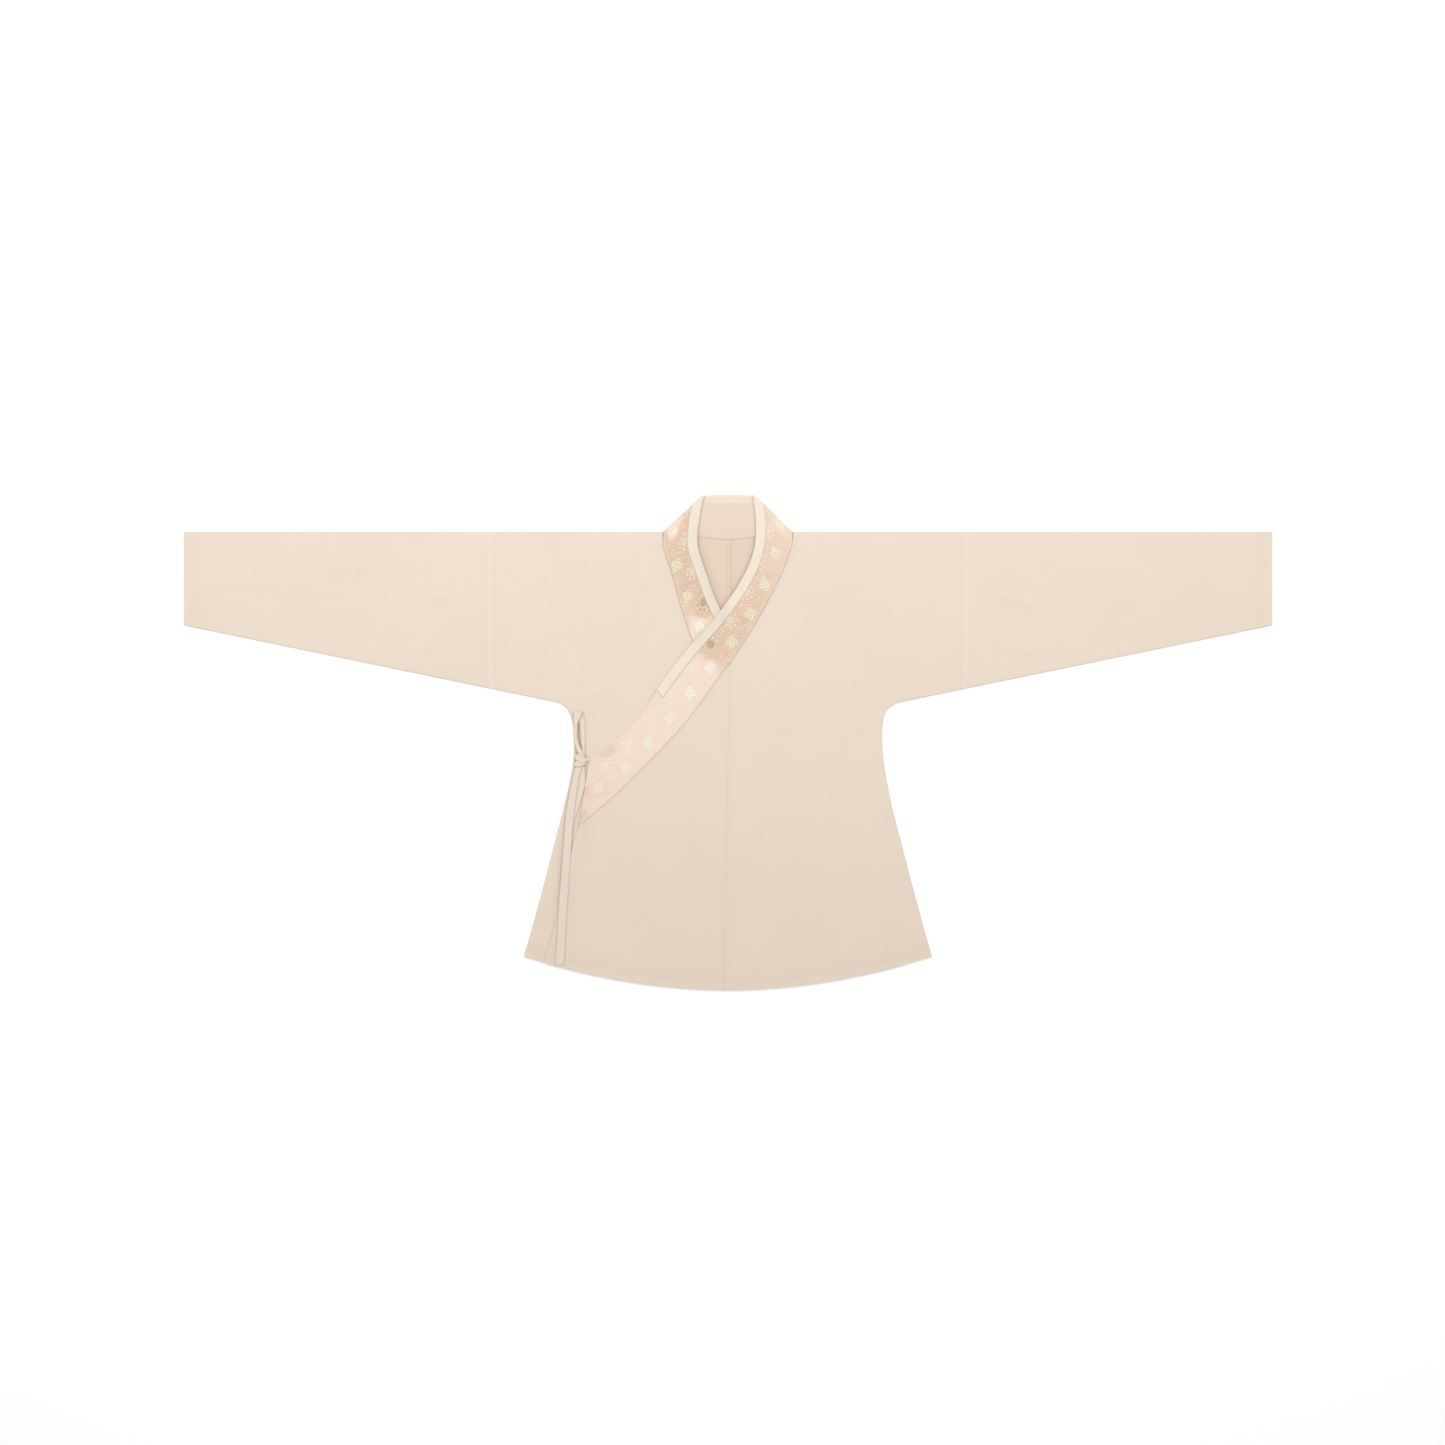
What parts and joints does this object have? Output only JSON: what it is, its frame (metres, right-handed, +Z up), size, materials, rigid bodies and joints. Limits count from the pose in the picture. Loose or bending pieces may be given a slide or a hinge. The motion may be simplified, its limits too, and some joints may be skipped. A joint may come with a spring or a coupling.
{
  "type": "hanfu jacket",
  "caption": "Beige hanfu jacket laid flat on its back, left front crossed over right, with a brocade collar band, a plain guard along its neck edge and a tied side tie.",
  "frame": {"origin": "centre of the garment's outline in plan, on the surface that the back lies on", "axes": "+X toward the wearer's left along the sleeves, +Y toward the head, +Z up from the back to the front"},
  "size_m": [1.82, 0.8273, 0.0092],
  "materials": {
    "plain_cloth": "matt plain weave of cotton and linen",
    "brocade": "satin ground with woven flowers, soft sheen",
    "guard_cloth": "smooth plain cloth, slight sheen"
  },
  "bodies": {
    "root": {"right_body": "plain_cloth", "left_body": "plain_cloth", "right_sleeve": "plain_cloth", "left_sleeve": "plain_cloth", "outer_overlap": "plain_cloth", "inner_overlap": "plain_cloth", "collar": "brocade", "collar_facing": "plain_cloth", "collar_guard": "guard_cloth", "side_tie": "plain_cloth", "collar_tie": "plain_cloth"}
  },
  "joints": []
}
